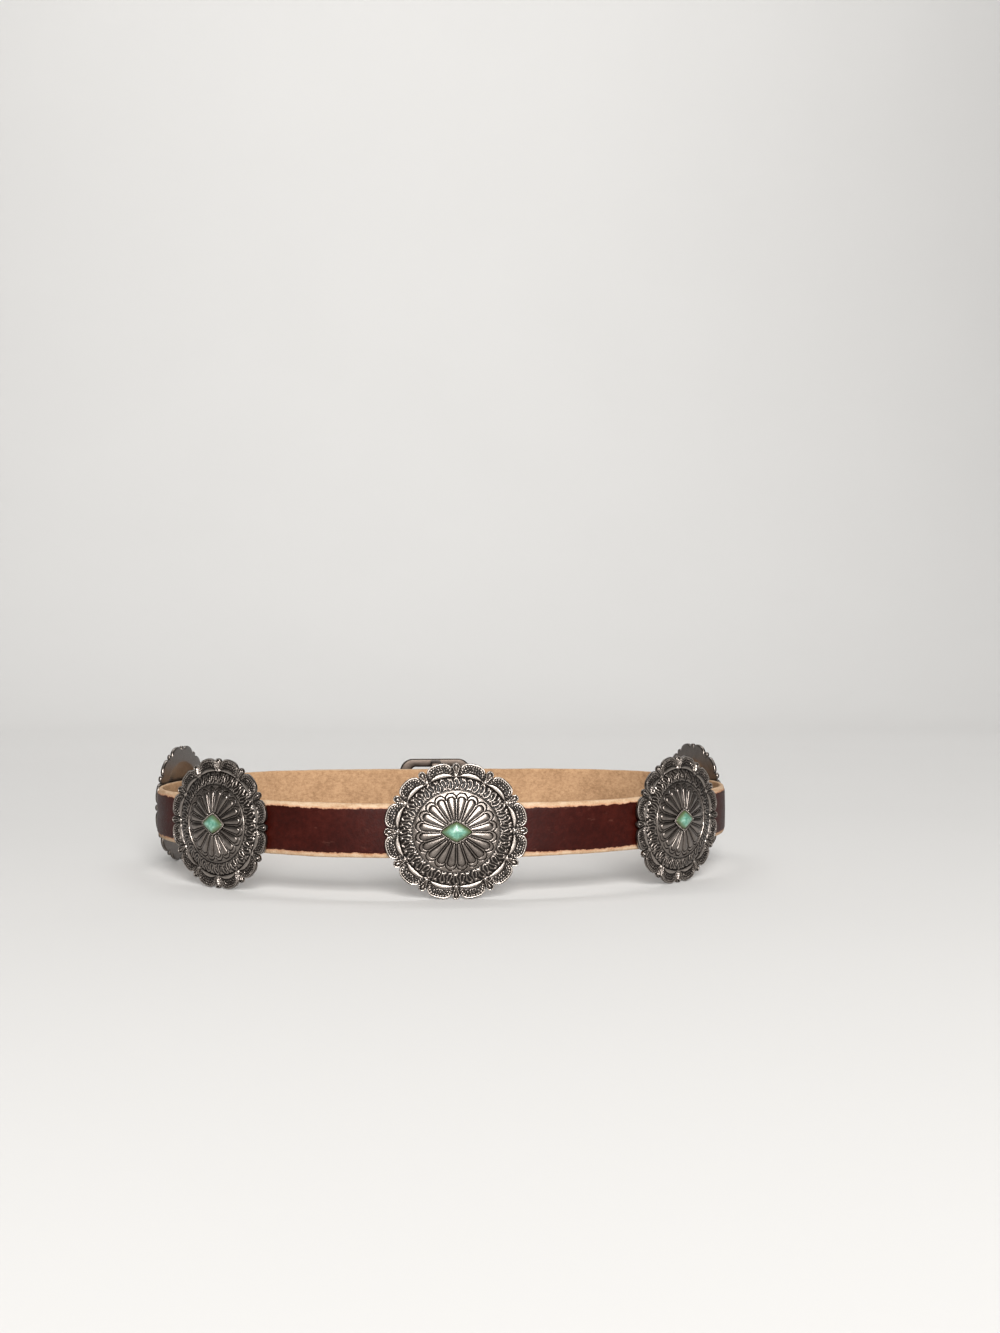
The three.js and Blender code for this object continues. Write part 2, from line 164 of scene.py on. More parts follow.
# Cuts a closed piece out of another, and deletes it
def cutOut(piece, cutter):
    cut = piece.modifiers.new("cut", "BOOLEAN")
    cut.object = cutter
    cut.operation = "DIFFERENCE"
    cut.solver = "EXACT"
    applyAll(piece)
    bpy.data.objects.remove(cutter)


# Merges doubles and turns all faces outwards
def closeUp(piece, distance=1e-6):
    activate(piece)
    bpy.ops.object.mode_set(mode="EDIT")
    bpy.ops.mesh.select_all(action="SELECT")
    bpy.ops.mesh.remove_doubles(threshold=distance)
    bpy.ops.mesh.normals_make_consistent(inside=False)
    bpy.ops.object.mode_set(mode="OBJECT")
    return piece


def smooth(piece, degrees):
    activate(piece)
    bpy.ops.object.shade_smooth_by_angle(angle=math.radians(degrees))
    return piece


# A flat grid whose vertices are told where they go by two numbers, across and along, from 0 to 1
def wrappedGrid(name, across, along, where):
    deselect()
    bpy.ops.mesh.primitive_grid_add(x_subdivisions=across, y_subdivisions=along, size=2)
    grid = named(name)
    spots = positions(grid)
    place(grid, where(np.round((spots[:, 0] + 1) / 2 * across), np.round((spots[:, 1] + 1) / 2 * along)))
    return grid


# Shader maths: a socket that takes part in sums
class Signal:
    def __init__(self, finish, socket):
        self.finish = finish
        self.socket = socket

    def maths(self, operation, other=None, swap=False):
        values = [self] if other is None else ([other, self] if swap else [self, other])
        return self.finish.node("Math", {"operation": operation}, dict(enumerate(values)))

    def __add__(self, other):
        return self.maths("ADD", other)

    __radd__ = __add__

    def __sub__(self, other):
        return self.maths("SUBTRACT", other)

    def __rsub__(self, other):
        return self.maths("SUBTRACT", other, True)

    def __mul__(self, other):
        return self.maths("MULTIPLY", other)

    __rmul__ = __mul__

    def size(self):
        return self.maths("ABSOLUTE")

    def clipped(self):
        return self.finish.node("Clamp", {}, {0: self})

    # 0 below low, 1 above high, smooth between them
    def step(self, low, high):
        ends = {0: self, 1: low, 2: high, 3: 0.0, 4: 1.0}
        return self.finish.node("MapRange", {"interpolation_type": "SMOOTHSTEP"}, ends)


# A material under construction
class Finish:
    def __init__(self, name):
        self.material = bpy.data.materials.new(name)
        self.material.use_nodes = True
        self.tree = self.material.node_tree
        self.shader = self.tree.nodes["Principled BSDF"]
        self.object = self.node("TexCoord", {}, {}, "Object")

    def node(self, kind, settings, inputs, output=0):
        made = self.tree.nodes.new("ShaderNode" + kind)
        for key, value in settings.items():
            if key == "stops":
                ramp = made.color_ramp
                while len(ramp.elements) < len(value):
                    ramp.elements.new(0.5)
                for element, (position, colour) in zip(ramp.elements, value):
                    element.position = position
                    element.color = (*colour, 1)
            else:
                setattr(made, key, value)
        for key, value in inputs.items():
            self.feed(made.inputs[key], value)
        return Signal(self, made.outputs[output])

    def feed(self, socket, value):
        if isinstance(value, Signal):
            self.tree.links.new(value.socket, socket)
        elif socket.type == "RGBA":
            socket.default_value = (*value, 1)
        else:
            socket.default_value = value

    def attribute(self, name):
        return self.node("Attribute", {"attribute_name": name}, {}, "Fac")

    def noise(self, scale, detail=2.0, where=None, roughness=0.5):
        inputs = {"Vector": where or self.object, "Scale": scale, "Detail": detail, "Roughness": roughness}
        return self.node("TexNoise", {}, inputs)

    def cells(self, scale, feature, where=None):
        inputs = {"Vector": where or self.object, "Scale": scale}
        return self.node("TexVoronoi", {"feature": feature}, inputs, "Distance")

    # Coordinates pushed about by a coarse noise, so that veins aren't straight
    def warped(self, reach):
        push = self.node("TexNoise", {}, {"Vector": self.object, "Scale": 380.0, "Detail": 2.0}, "Color")
        centred = self.node("VectorMath", {"operation": "SUBTRACT"}, {0: push, 1: (0.5, 0.5, 0.5)})
        scaled = self.node("VectorMath", {"operation": "SCALE"}, {0: centred, "Scale": reach})
        return self.node("VectorMath", {"operation": "ADD"}, {0: self.object, 1: scaled})

    # Coordinates made of three numbers, such as one that runs along the strap
    def stretched(self, along, across, outwards):
        return self.node("CombineXYZ", {}, {0: along, 1: across, 2: outwards})

    def ramp(self, value, stops):
        return self.node("ValToRGB", {"stops": stops}, {0: value})

    def mix(self, factor, first, second):
        return self.node("Mix", {"data_type": "RGBA"}, {0: factor, 6: first, 7: second}, 2)

    def bump(self, height, strength, distance, under=None):
        inputs = {"Height": height, "Strength": strength, "Distance": distance}
        if under:
            inputs["Normal"] = under
        return self.node("Bump", {}, inputs)

    def finish(self, **inputs):
        for key, value in inputs.items():
            socket = next(each for each in self.shader.inputs if each.name.replace(" ", "") == key)
            self.feed(socket, value)
        return self.material


# Materials

# Colours of the cast metal from its recesses to its polished heights
castLook = {
    "recess": (0.006, 0.004, 0.003),
    "shade": (0.020, 0.0145, 0.011),
    "worn": (0.088, 0.070, 0.059),
    "polished": (0.40, 0.352, 0.314),
}


def patinaStops():
    return list(zip((0.0, 0.3, 0.62, 1.0), castLook.values()))


def castSilver():
    made = Finish("castSilver")
    cloud = made.noise(210.0, 3.0)
    speck = made.noise(1900.0, 2.0, roughness=0.65)
    tone = (made.attribute("patina") + (cloud - 0.5) * 0.28 + (speck - 0.5) * 0.3).clipped()
    grain = made.bump(speck, 0.35, 0.00012)
    return made.finish(
        BaseColor=made.ramp(tone, patinaStops()),
        Metallic=0.55 + tone.step(0.05, 0.5) * 0.45,
        Roughness=(0.68 - tone.step(0.0, 0.6) * 0.31 - tone * 0.09 + (cloud - 0.5) * 0.14).clipped(),
        Normal=made.bump(cloud, 0.25, 0.0003, grain),
        CoatWeight=0.35 + tone.step(0.0, 0.5) * 0.2,
        CoatRoughness=0.24,
        SpecularIORLevel=0.12,
    )


# Colours of the stone from its dark clouds to its pale ones, and of its veins and its rim
stoneLook = {
    "clouds": [
        (0.0, (0.06, 0.165, 0.12)), (0.45, (0.11, 0.265, 0.195)),
        (0.8, (0.19, 0.37, 0.29)), (1.0, (0.32, 0.50, 0.42)),
    ],
    "vein": (0.13, 0.10, 0.035),
    "olive": (0.06, 0.085, 0.033),
}


def turquoiseStone():
    made = Finish("turquoiseStone")
    edge = made.attribute("edge")
    cloud = made.noise(260.0, 4.0, roughness=0.6)
    patch = made.noise(620.0, 3.0)
    body = made.ramp((cloud * 0.65 + patch * 0.35).step(0.37, 0.63), stoneLook["clouds"])
    vein = made.cells(330.0, "DISTANCE_TO_EDGE", made.warped(0.0016))
    veins = (1 - vein.step(0.0, 0.07)) * patch.step(0.5, 0.62)
    veined = made.mix(veins * 0.5, body, stoneLook["vein"])
    olive = (edge.step(0.4, 0.95) * 0.95 + (cloud - 0.5) * edge * 1.1).clipped()
    return made.finish(
        BaseColor=made.mix(olive, veined, stoneLook["olive"]),
        Roughness=0.27 + veins * 0.2 + patch * 0.1,
        Normal=made.bump(veins * -1.0 + patch * 0.25, 0.2, 0.00015),
        CoatWeight=0.25,
        CoatRoughness=0.12,
        SpecularIORLevel=0.4,
    )


leatherLook = {
    "faceHalfHeight": 0.01035,  # of the dyed face, from the middle of the strap
    "ragged": 0.0011,  # how far the dye's edge wanders
    "dye": [(0.0, (0.017, 0.0015, 0.0006)), (0.5, (0.026, 0.0025, 0.0011)), (1.0, (0.038, 0.0046, 0.0024))],
    "cut": [(0.0, (0.27, 0.15, 0.078)), (0.5, (0.40, 0.27, 0.168)), (1.0, (0.49, 0.37, 0.26))],
    "flesh": [(0.0, (0.21, 0.115, 0.058)), (1.0, (0.42, 0.26, 0.145))],
}


def beltLeather(middle):
    made = Finish("beltLeather")
    look = leatherLook
    height = made.node("SeparateXYZ", {}, {0: made.object}, 2)
    along = made.attribute("along")
    side = made.attribute("side")
    cloud = made.noise(55.0, 3.0)
    mottle = made.noise(420.0, 4.0, roughness=0.62)
    grain = made.cells(1150.0, "SMOOTH_F1")
    fine = made.noise(3600.0, 2.0)
    # the dye stops short of the cut edges in a ragged line
    ragged = (made.noise(330.0, 3.0, roughness=0.7) - 0.5) * (2 * look["ragged"])
    offset = (height - middle).size() + ragged + (cloud - 0.5) * look["ragged"]
    cutEdge = offset.step(look["faceHalfHeight"] - 0.00022, look["faceHalfHeight"] + 0.00022)
    stain = 1 - offset.step(look["faceHalfHeight"], look["faceHalfHeight"] + 0.0011)
    rub = (mottle * 0.55 + cloud * 0.45).step(0.28, 0.72)
    dyed = made.ramp(rub, look["dye"])
    scuff = made.noise(150.0, 5.0, made.stretched(along, height * 2.0, side * 0.002), 0.7).step(0.60, 0.74)
    dyed = made.mix(scuff * 0.32, dyed, (0.135, 0.052, 0.036))
    fibre = made.noise(520.0, 5.0, made.stretched(along * 0.22, height, side * 0.002), 0.7)
    flecks = made.noise(1500.0, 3.0, roughness=0.7)
    natural = made.ramp((fibre * 0.45 + mottle * 0.3 + flecks * 0.25).step(0.3, 0.66), look["cut"])
    natural = made.mix(stain * 0.55, natural, (0.36, 0.135, 0.065))
    nap = made.noise(900.0, 5.0, made.stretched(along * 0.5, height, side * 0.002), 0.75)
    inside = made.ramp((mottle * 0.3 + cloud * 0.2 + nap * 0.3 + fine * 0.2).step(0.34, 0.64), look["flesh"])
    outer = made.mix(cutEdge, dyed, natural)
    isInner = 1 - side.step(-0.9, -0.55)
    pores = made.bump(grain, 0.30, 0.00022, made.bump(mottle, 0.35, 0.0003))
    return made.finish(
        BaseColor=made.mix(isInner, outer, inside),
        Roughness=(0.47 + cutEdge * 0.3 + isInner * 0.35 + (mottle - 0.5) * 0.22 + scuff * 0.08).clipped(),
        Normal=made.bump(fine + cutEdge * fibre + isInner * nap * 2.5, 0.3, 0.0002, pores),
        SpecularIORLevel=0.12,
    )


def buckleMetal():
    made = Finish("buckleMetal")
    cloud = made.noise(130.0, 4.0)
    height = made.node("SeparateXYZ", {}, {0: made.object}, 2)
    scratch = made.noise(300.0, 3.0, made.stretched(cloud * 0.03, height * 9.0, 0.0))
    tone = (made.attribute("patina") + (cloud - 0.5) * 0.35 + (scratch - 0.5) * 0.25).clipped()
    return made.finish(
        BaseColor=made.ramp(tone, patinaStops()),
        Metallic=1.0,
        Roughness=(0.42 - tone * 0.14 + (cloud - 0.5) * 0.2).clipped(),
        Normal=made.bump(scratch, 0.12, 0.0001, made.bump(cloud, 0.2, 0.0004)),
    )


def screwMetal():
    made = Finish("screwMetal")
    cloud = made.noise(400.0, 4.0)
    fine = made.noise(2600.0, 2.0)
    tone = (made.attribute("patina") + (cloud - 0.5) * 0.4).clipped()
    stops = [(0.0, (0.03, 0.027, 0.024)), (0.5, (0.30, 0.28, 0.26)), (1.0, (0.58, 0.56, 0.53))]
    return made.finish(
        BaseColor=made.ramp(tone, stops),
        Metallic=1.0,
        Roughness=(0.36 + (fine - 0.5) * 0.3).clipped(),
        Normal=made.bump(fine, 0.15, 0.0001),
    )


# Route of the strap

# Half of the route, from the back concho to the front: the length and turn of each leg
def halfLegs():
    arc = belt["conchoSpacing"] - belt["seat"]
    frontTurn = math.pi - belt["backTurn"] - belt["sideTurn"]
    legs = [
        (belt["seat"] / 2, 0.0),
        (arc, belt["backTurn"]),
        (belt["seat"], 0.0),
        (arc, belt["sideTurn"]),
        (belt["seat"], 0.0),
        (belt["frontRadius"] * frontTurn, frontTurn),
    ]
    reach = 0.0
    heading = 0.0
    for length, turn in legs:
        if turn:
            reach += length / turn * (math.sin(heading + turn) - math.sin(heading))
        else:
            reach += length * math.cos(heading)
        heading += turn
    return legs + [(reach, 0.0)]


# The whole route, from the front to the front: start, place, heading and bend of each leg
def wholeRoute():
    half = halfLegs()
    front = sum(length for length, turn in half)
    rows = []
    x = 0.0
    y = 0.0
    heading = math.pi
    start = -front
    for length, turn in half[::-1] + half:
        rows.append((start, x, y, heading, turn / length))
        if turn:
            radius = length / turn
            x += radius * (math.sin(heading + turn) - math.sin(heading))
            y -= radius * (math.cos(heading + turn) - math.cos(heading))
        else:
            x += length * math.cos(heading)
            y += length * math.sin(heading)
        heading += turn
        start += length
    return front, np.array(rows)


frontDistance, routeLegs = wholeRoute()
# The route starts at the front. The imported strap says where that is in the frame.
strapLow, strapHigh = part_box("strap")
frontLine = strapHigh.y / mm - belt["thickness"] * 1.5 - belt["gap"]
middleHeight = (strapLow.z + strapHigh.z) / 2


# Places along the route, in millimetres: points, the way along and the way outwards
def along(distances, outwards=0.0):
    distances = np.asarray(distances, dtype=float)
    lap = (distances + frontDistance) % (2 * frontDistance) - frontDistance
    leg = np.clip(np.searchsorted(routeLegs[:, 0], lap, side="right") - 1, 0, len(routeLegs) - 1)
    start, x, y, heading, bend = routeLegs[leg].T
    run = lap - start
    turned = heading + bend * run
    safe = np.where(bend == 0, 1.0, bend)
    curvedX = x + (np.sin(turned) - np.sin(heading)) / safe
    curvedY = y - (np.cos(turned) - np.cos(heading)) / safe
    px = np.where(bend == 0, x + run * np.cos(heading), curvedX)
    py = np.where(bend == 0, y + run * np.sin(heading), curvedY) + frontLine
    outward = np.stack([np.sin(turned), -np.cos(turned)], axis=-1)
    points = np.stack([px, py], axis=-1) + outward * np.asarray(outwards)[..., None]
    return points, np.stack([np.cos(turned), np.sin(turned)], axis=-1), outward


# Puts something modelled with X along the strap, Y up and Z outwards at a place on the route
def frameAt(distance, outwards):
    point, way, outward = along([distance], outwards)
    matrix = Matrix.Identity(4)
    matrix.col[0] = (*way[0], 0, 0)
    matrix.col[1] = (0, 0, 1, 0)
    matrix.col[2] = (*outward[0], 0, 0)
    matrix.col[3] = (point[0][0] * mm, point[0][1] * mm, middleHeight, 1)
    return matrix


# Concho: relief in millimetres, in its own frame, before it is stretched along the strap
concho = {
    "stretch": 67 / 63.5,  # its width over its height
    "lobes": 12,
    "petals": 20,
    "columns": 720,
    "discColumns": 540,
    "backColumns": 120,
    "borderRings": 29,
    "bandRings": 26,
    "discRings": 62,
    "hollow": 23.2,  # where the hollow behind starts
    "border": 25.15,  # where the crescents start
    "band": 19.3,  # where the sloping band starts
    "ring": 18.95,  # outside of the raised ring
    "lobeMiddle": 26.1,
    "lobeReach": 6.05,
    "lobeHalfWidth": 6.15,
    "lobeCorner": 2.6,  # 2 is an ellipse, more is squarer
    "finialMiddle": 30.03,
    "finialRadius": 1.72,
    "bezelWidth": 14.4,
    "bezelHeight": 10.3,
    "bezelCorner": 1.2,  # 1 is a rhombus with straight sides, 2 an oval
    "collarFloor": 4.35,
    "collarRise": 1.0,
    # round the pocket of the stone, how much wider and how high: floor, inside, lip and outside of the collar
    "collar": [(-1.1, -0.2), (-1.1, 0.75), (-0.95, 0.95), (-0.7, 1.0), (-0.5, 0.8), (-0.45, 0.0)],
    "stoneBeads": 54,
    "beadRadius": 0.38,
    "beadLevel": 4.85,
    "bore": 1.52,
    "boreFloor": -0.6,
    "postEnd": -3.2,
}


def smoothStep(low, high, x):
    t = np.clip((x - low) / (high - low), 0, 1)
    return t * t * (3 - 2 * t)


# A rounded ridge over a line: 1 on the line, 0 at its half-width
def hump(distance, halfWidth):
    return np.clip(1 - (distance / halfWidth) ** 2, 0, 1) ** 1.5


# A round bead over a point: 1 in its middle, 0 at its radius
def dome(distance, radius):
    return np.sqrt(np.clip(1 - (distance / radius) ** 2, 0, 1))


# A line with a flat top, 0 at its half-width
def line(distance, halfWidth):
    return smoothStep(halfWidth, halfWidth * 0.4, np.abs(distance))


# Distance from a drop with a small round end and a large one, negative inside it
def drop(x, y, start, smallRadius, end, largeRadius):
    y = np.abs(y)
    length = end - start
    lean = (smallRadius - largeRadius) / length
    flank = math.sqrt(1 - lean * lean)
    x = x - start
    way = -lean * y + flank * x
    byStart = np.hypot(x, y) - smallRadius
    byEnd = np.hypot(x - length, y) - largeRadius
    bySide = flank * y + lean * x - smallRadius
    return np.where(way < 0, byStart, np.where(way > flank * length, byEnd, bySide))


# Angle from the nearest of so many axes
def fromAxis(angle, count, shift=0.0):
    pitch = tau / count
    return (angle / pitch - shift + 0.5) % 1.0 * pitch - pitch / 2


# How deep a point is inside the nearest lobe, and its direction from the lobe's middle
def insideLobe(radius, angle):
    c = concho
    off = fromAxis(angle, c["lobes"], 0.5)
    x = radius * np.cos(off) - c["lobeMiddle"]
    y = radius * np.sin(off)
    power = c["lobeCorner"]
    share = np.abs(x / c["lobeReach"]) ** power + np.abs(y / c["lobeHalfWidth"]) ** power
    share = np.maximum(share, 1e-6) ** (1 / power)
    return np.hypot(x, y) * (1 / share - 1), np.arctan2(y, x)


def outlineRadius(angle):
    c = concho
    low = np.full(np.shape(angle), c["lobeMiddle"])
    high = low + c["lobeReach"] + 1
    for halving in range(24):
        middle = (low + high) / 2
        inside = insideLobe(middle, angle)[0] > 0
        low = np.where(inside, middle, low)
        high = np.where(inside, high, middle)
    offAxis = fromAxis(angle, c["lobes"])
    off = c["finialMiddle"] * np.sin(offAxis)
    half = np.sqrt(np.clip(c["finialRadius"] ** 2 - off ** 2, 0, None))
    finial = np.where(half > 0, c["finialMiddle"] * np.cos(offAxis) + half, 0)
    return np.maximum(low, finial)


# A stamped C that opens towards positive u
def openArc(u, v, halfWidth, halfHeight, stroke):
    share = np.maximum(np.hypot(u / halfWidth, v / halfHeight), 0.05)
    away = np.hypot(u, v) * (1 - 1 / share)
    return hump(away, stroke) * smoothStep(0.8, 0.45, u / halfWidth / share)


# The stamps of the band, one after another like links: a tall arc, a leaf inside it and curls at its ends
def bandStamps(radius, angle):
    stamps = concho["lobes"] * 4
    off = fromAxis(angle, stamps)
    flip = np.where(np.round((angle - off) / (tau / stamps)) % 2 == 0, 1.0, -1.0)
    u = off * radius
    v = (radius - (concho["border"] + concho["band"]) / 2) * flip * 0.87
    rise = openArc(u + 0.2 - 0.12 * v, v - 0.25, 1.1, 1.95, 0.55)
    leaf = drop(v + 0.6 * u + 0.1, u - 0.5 * v - 0.3, -1.0, 0.24, 1.3, 0.5)
    rise = np.maximum(rise, np.clip(-leaf / 0.3, 0, 1) ** 0.7)
    for x, y, size in ((0.85, 1.65, 0.55), (0.45, -2.05, 0.6), (-1.0, -2.1, 0.46), (1.35, -0.7, 0.42)):
        rise = np.maximum(rise, hump(np.hypot(u - x, v - y), size))
    return rise


# One row of marks round a lobe at a depth inside its rim: u runs along the row, v across it
def lobeRow(inLobe, turn, depth, count):
    return fromAxis(turn, count) * (concho["lobeReach"] + 0.2 - depth), inLobe - depth


# Level and brightness of the lobes, crescents and finials
def borderRelief(radius, angle):
    c = concho
    ground = 1.2
    offAxis = fromAxis(angle, c["lobes"])
    offLobe = fromAxis(angle, c["lobes"], 0.5)
    inLobe, turn = insideLobe(radius, angle)
    rim = smoothStep(-0.06, 0.15, inLobe) * smoothStep(0.94, 0.76, inLobe) * 0.42
    # inside the rim: a row of beads, slanting leaves, then beads again
    u, v = lobeRow(inLobe, turn, 1.42, 27)
    marks = dome(np.hypot(u, v), 0.54) * 1.15
    u, v = lobeRow(inLobe, turn, 2.7, 19)
    across = 0.78 * u + 0.62 * v
    lengthwise = 0.78 * v - 0.62 * u
    marks = np.maximum(marks, hump(across, 0.36) * smoothStep(0.8, 0.5, np.abs(lengthwise)))
    u, v = lobeRow(inLobe, turn, 3.9, 13)
    marks = np.maximum(marks, dome(np.hypot(u, v), 0.42))
    # the crescent, thickest at the middle of the lobe, and a thin line round it
    lens = np.clip(1 - (offLobe / math.radians(12.2)) ** 2, 0, 1)
    inner = c["border"] + 0.25
    width = 0.1 + 1.95 * lens ** 0.75
    depth = np.minimum(radius - inner, inner + width - radius)
    crescent = smoothStep(0.0, 0.24, depth) * 0.44 + np.clip(depth, 0, 1) * 0.1
    crescent *= smoothStep(0.0, 0.12, lens)
    outside = radius - inner - width
    outline = hump(outside - 0.5, 0.24) * smoothStep(0.86, 1.0, inLobe) * 0.3
    field = smoothStep(0.62, 0.95, outside) * smoothStep(0.72, 0.98, inLobe)
    rise = np.maximum.reduce([rim, marks * field * 0.42, crescent, outline])
    # finials: a drop inside a rim, with a bead at the root
    fx = radius * np.cos(offAxis)
    fy = radius * np.sin(offAxis)
    edge = drop(fx, fy, 26.3, 0.7, c["finialMiddle"], c["finialRadius"])
    inFinial = smoothStep(0.12, -0.12, edge)
    finialRim = smoothStep(0.05, -0.12, edge) * smoothStep(-0.68, -0.5, edge) * 0.5
    core = drop(fx, fy, 26.9, 0.25, 29.9, 0.76)
    coreRise = np.clip(-core / 0.5, 0, 1) ** 0.6 * 0.66
    rise = rise * (1 - inFinial) + np.maximum(finialRim, coreRise) * inFinial
    trench = hump(edge - 0.28, 0.32) * (1 - inFinial)
    rise *= 1 - smoothStep(0.75, 0.35, edge) * (1 - inFinial) * (radius < 30)
    bead = dome(np.hypot(fx - 25.9, fy * 0.85), 0.95) * 0.8
    rise = np.maximum(rise - trench * 0.2, bead)
    edgeLine = line(radius - c["border"], 0.26)
    # the border's raised marks are painted lighter than the petals of the disc: partly polish, partly a
    # painted reflection
    shine = 0.9 * smoothStep(0.08, 0.32, rise) * (1 - 0.9 * trench * (bead < 0.1))
    return ground + rise - edgeLine * 0.15, shine * (1 - edgeLine * (bead < 0.1))


# Level and brightness of the sloping band
def bandRelief(radius, angle):
    c = concho
    slope = (radius - c["band"]) / (c["border"] - c["band"])
    base = 2.75 - 1.55 * slope + 0.42 * np.sin(np.pi * slope)
    plain = smoothStep(0.05, 0.3, radius - c["band"]) * smoothStep(0.0, 0.3, c["border"] - radius)
    stamps = bandStamps(radius, angle) * plain
    return base + stamps * 0.4, 0.02 + 0.8 * smoothStep(0.06, 0.42, stamps)


# Level and brightness of the disc of petals and the raised ring round it
def discRelief(radius, angle):
    c = concho
    offPetal = fromAxis(angle, c["petals"], 0.5)
    px = radius * np.cos(offPetal)
    py = radius * np.sin(offPetal)
    base = 2.75 + 1.78 * np.clip(1 - (radius / 19) ** 2, 0, 1)
    tongue = drop(px, py, 6.0, 0.5, 14.6, 1.6)
    scallop = drop(px, py, 6.0, 1.0, 15.55, 2.45)
    raised = (1 - (1 - np.clip(-tongue / 1.3, 0, 1)) ** 2) * 0.3 + smoothStep(0.02, -0.22, tongue) * 0.18
    trench = line(tongue - 0.16, 0.25)
    scallopLine = line(scallop, 0.27) * smoothStep(14.9, 15.5, radius)
    lip = smoothStep(0.1, -0.25, scallop) * 0.1
    ring = smoothStep(18.2, 18.45, radius) * smoothStep(c["ring"] + 0.05, c["ring"] - 0.2, radius)
    dark = np.maximum(trench, scallopLine)
    level = base + raised + lip + ring * 0.35 - dark * 0.3
    return level, np.clip(0.73 - dark * 0.77, 0, 1)


def rhombusRadius(angle, width, height):
    corner = concho["bezelCorner"]
    across = np.abs(2 * np.cos(angle) / width) ** corner
    upright = np.abs(2 * np.sin(angle) / height) ** corner
    return (across + upright) ** (-1 / corner)


def polarPoints(radius, angle, level):
    stretch = concho["stretch"]
    return np.stack([radius * np.cos(angle) * stretch, radius * np.sin(angle), level], axis=-1) * mm


# The angle of a column, or of the nearest column of a coarser or finer grid that it is to meet
def columnAngle(across, columns, target=None):
    if target:
        return -np.round(across * target / columns) / target * tau
    return -across / columns * tau


def borderGrid():
    c = concho
    rings = c["borderRings"]
    behind = 6  # rings past the front
    shine = {}

    def where(across, around):
        # past the front: the edge, the flat back of the rim, then the first ring of the hollow
        past = around - rings
        angle = columnAngle(across, c["columns"])
        angle = np.where(past == behind, columnAngle(across, c["columns"], c["backColumns"]), angle)
        edge = outlineRadius(angle)
        radius = c["border"] + (edge - c["border"]) * np.clip(around / rings, 0, 1)
        level, bright = borderRelief(radius, angle)
        level = np.select([past <= 0, past == 1, past == 2], [level, 1.0, 0.25], 0.0)
        inwards = [edge, edge - 0.25, edge - 1.2, 24.2]
        inner = np.select([past <= 2, past == 3, past == 4, past == 5], inwards, c["hollow"])
        shine["values"] = np.where(past <= 0, bright, np.where(past < 3, 0.75, 0.55))
        return polarPoints(np.where(past <= 0, radius, inner), angle, level)

    grid = wrappedGrid("border", c["columns"], rings + behind, where)
    paint(grid, "patina", shine["values"])
    return grid


def bandGrid():
    c = concho
    shine = {}

    def where(across, around):
        # the first ring is the disc's last, and the last ring is the border's first
        angle = columnAngle(across, c["columns"])
        angle = np.where(around == 0, columnAngle(across, c["columns"], c["discColumns"]), angle)
        radius = c["band"] + (c["border"] - c["band"]) * (around - 1) / c["bandRings"]
        radius = np.where(around == 0, c["ring"], radius)
        level, bright = bandRelief(radius, angle)
        for row, relief in ((0, discRelief), (c["bandRings"] + 1, borderRelief)):
            otherLevel, otherBright = relief(radius, angle)
            level = np.where(around == row, otherLevel, level)
            bright = np.where(around == row, otherBright, bright)
        shine["values"] = bright
        return polarPoints(radius, angle, level)

    grid = wrappedGrid("band", c["columns"], c["bandRings"] + 1, where)
    paint(grid, "patina", shine["values"])
    return grid


def discGrid():
    c = concho
    collar = np.array(c["collar"])
    shine = {}

    def where(across, around):
        angle = columnAngle(across, c["discColumns"])
        inner = rhombusRadius(angle, c["bezelWidth"], c["bezelHeight"])
        step = np.clip(around - len(collar), 0, None) / c["discRings"]
        radius = inner + (c["ring"] - inner) * step ** 0.78
        level, bright = discRelief(radius, angle)
        onCollar = around < len(collar)
        narrower, rise = collar[np.clip(around, 0, len(collar) - 1).astype(int)].T
        rise = rise * c["collarRise"]
        inset = rhombusRadius(angle, c["bezelWidth"] + narrower, c["bezelHeight"] + narrower)
        radius = np.where(onCollar, inset, radius)
        level = np.where(onCollar, c["collarFloor"] + rise, level)
        shine["values"] = np.where(onCollar, np.where(rise > 0.6, 0.9, 0.15), bright)
        return polarPoints(radius, angle, level)

    grid = wrappedGrid("disc", c["discColumns"], c["discRings"] + len(collar), where)
    paint(grid, "patina", shine["values"])
    return grid


# The plain hollow behind, down to the post and its bore
def backGrid():
    c = concho
    profile = [
        (c["hollow"], 0.0), (22.4, 0.12), (18.4, 1.35), (16.5, 1.6), (10.0, 2.1), (4.0, 2.25), (2.75, 2.1),
        (2.3, 1.6), (2.27, -3.1), (2.0, c["postEnd"]), (c["bore"], c["postEnd"]), (c["bore"], c["boreFloor"]),
    ]

    def where(across, around):
        angle = columnAngle(across, c["backColumns"])
        radius, level = np.array(profile)[around.astype(int)].T
        return polarPoints(radius, angle, level)

    grid = wrappedGrid("back", c["backColumns"], len(profile) - 1, where)
    paint(grid, "patina", 0.6)
    return grid


